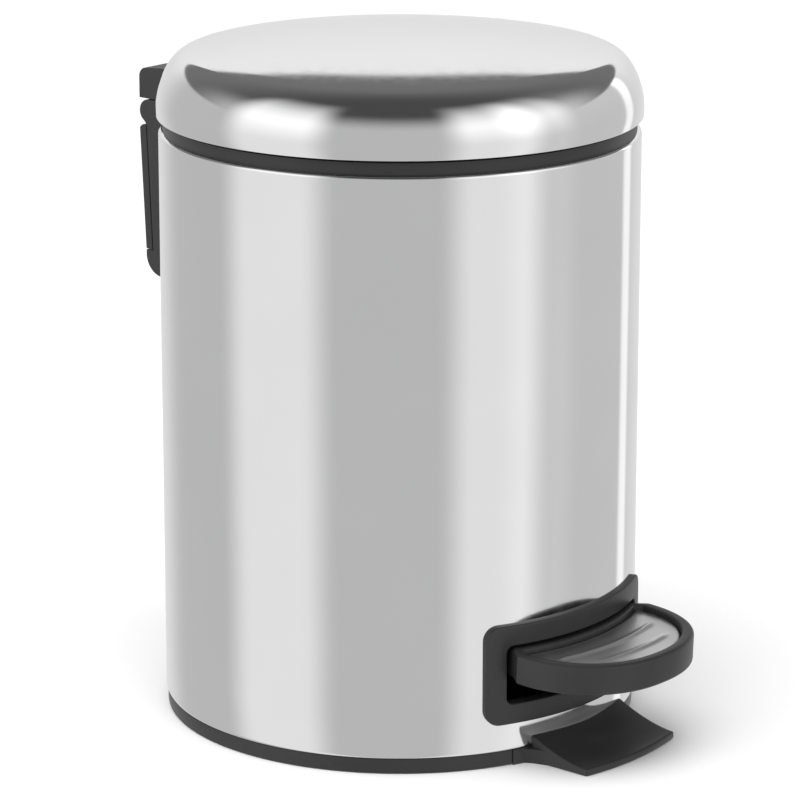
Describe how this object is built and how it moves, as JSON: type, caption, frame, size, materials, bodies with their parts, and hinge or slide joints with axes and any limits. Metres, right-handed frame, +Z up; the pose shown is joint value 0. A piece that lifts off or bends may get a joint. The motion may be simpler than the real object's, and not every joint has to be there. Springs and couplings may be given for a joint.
{
  "type": "pedal trash can",
  "caption": "Small round steel pedal bin with a domed hinged lid, a lift-out plastic bucket with a wire handle, and a front pedal that opens the lid through a lever and push rod.",
  "frame": {"origin": "on the floor, on the axis of the drum", "axes": "+Z up; -Y to the front, where the pedal is; +Y to the hinge at the rear; +X to the right as seen from the front"},
  "size_m": [0.1726, 0.2257, 0.246],
  "materials": {
    "polished_steel": "polished stainless steel sheet, a soft mirror with a very fine grain",
    "black_plastic": "satin moulded black plastic with a fine texture",
    "grey_plastic": "smooth moulded dark grey plastic",
    "plated_steel": "zinc-plated steel wire, strip and pins",
    "soft_bumper": "soft black rubber"
  },
  "bodies": {
    "housing": {"body_shell": "polished_steel", "base_plate": "black_plastic", "front_foot": "black_plastic", "top_ring": "black_plastic", "pedal_bezel": "black_plastic", "hinge_bracket": "black_plastic", "bracket_cover": "black_plastic", "rod_guide": "black_plastic", "hinge_pin": "plated_steel", "bracket_screw_left": "plated_steel", "bracket_screw_right": "plated_steel", "lever_axle": "plated_steel", "axle_clip_left": "plated_steel", "axle_clip_right": "plated_steel"},
    "lid": {"lid_shell": "polished_steel", "lid_liner": "black_plastic", "hinge_cap": "black_plastic", "lid_bumper_left": "soft_bumper", "lid_bumper_right": "soft_bumper", "lid_bumper_front": "soft_bumper"},
    "pedal": {"pedal_frame": "black_plastic", "pedal_plate": "polished_steel", "pedal_rivet_left": "plated_steel", "pedal_rivet_right": "plated_steel", "lever_arm": "plated_steel"},
    "rod": {"push_rod": "plated_steel", "rod_cap_lower": "black_plastic", "rod_cap_upper": "black_plastic"},
    "bucket": {"bucket": "grey_plastic"},
    "bail": {"bucket_handle": "plated_steel"}
  },
  "joints": [
    {"name": "lid_hinge", "type": "hinge", "parent": "housing", "child": "lid", "pos_m": [0, 0.1001, 0.2087], "axis": [-1, 0, 0], "range_deg": [0, 80]},
    {"name": "pedal_hinge", "type": "hinge", "parent": "housing", "child": "pedal", "pos_m": [0, -0.038, 0.023], "axis": [1, 0, 0], "range_deg": [0, 9.1]},
    {"name": "rod_slide", "type": "slide", "parent": "housing", "child": "rod", "axis": [0, 0, 1], "range_m": [0, 0.019]},
    {"name": "bucket_lift", "type": "slide", "parent": "housing", "child": "bucket", "axis": [0, 0, 1], "range_m": [0, 0.005]},
    {"name": "bucket_bail", "type": "hinge", "parent": "bucket", "child": "bail", "pos_m": [0, 0, 0.2168], "axis": [-1, 0, 0], "range_deg": [0, 8]}
  ],
  "couplings": [
    {"joint": "pedal_hinge", "follows": "lid_hinge", "ratio": 0.1125},
    {"joint": "rod_slide", "follows": "lid_hinge", "m_per_rad": 0.01349}
  ]
}
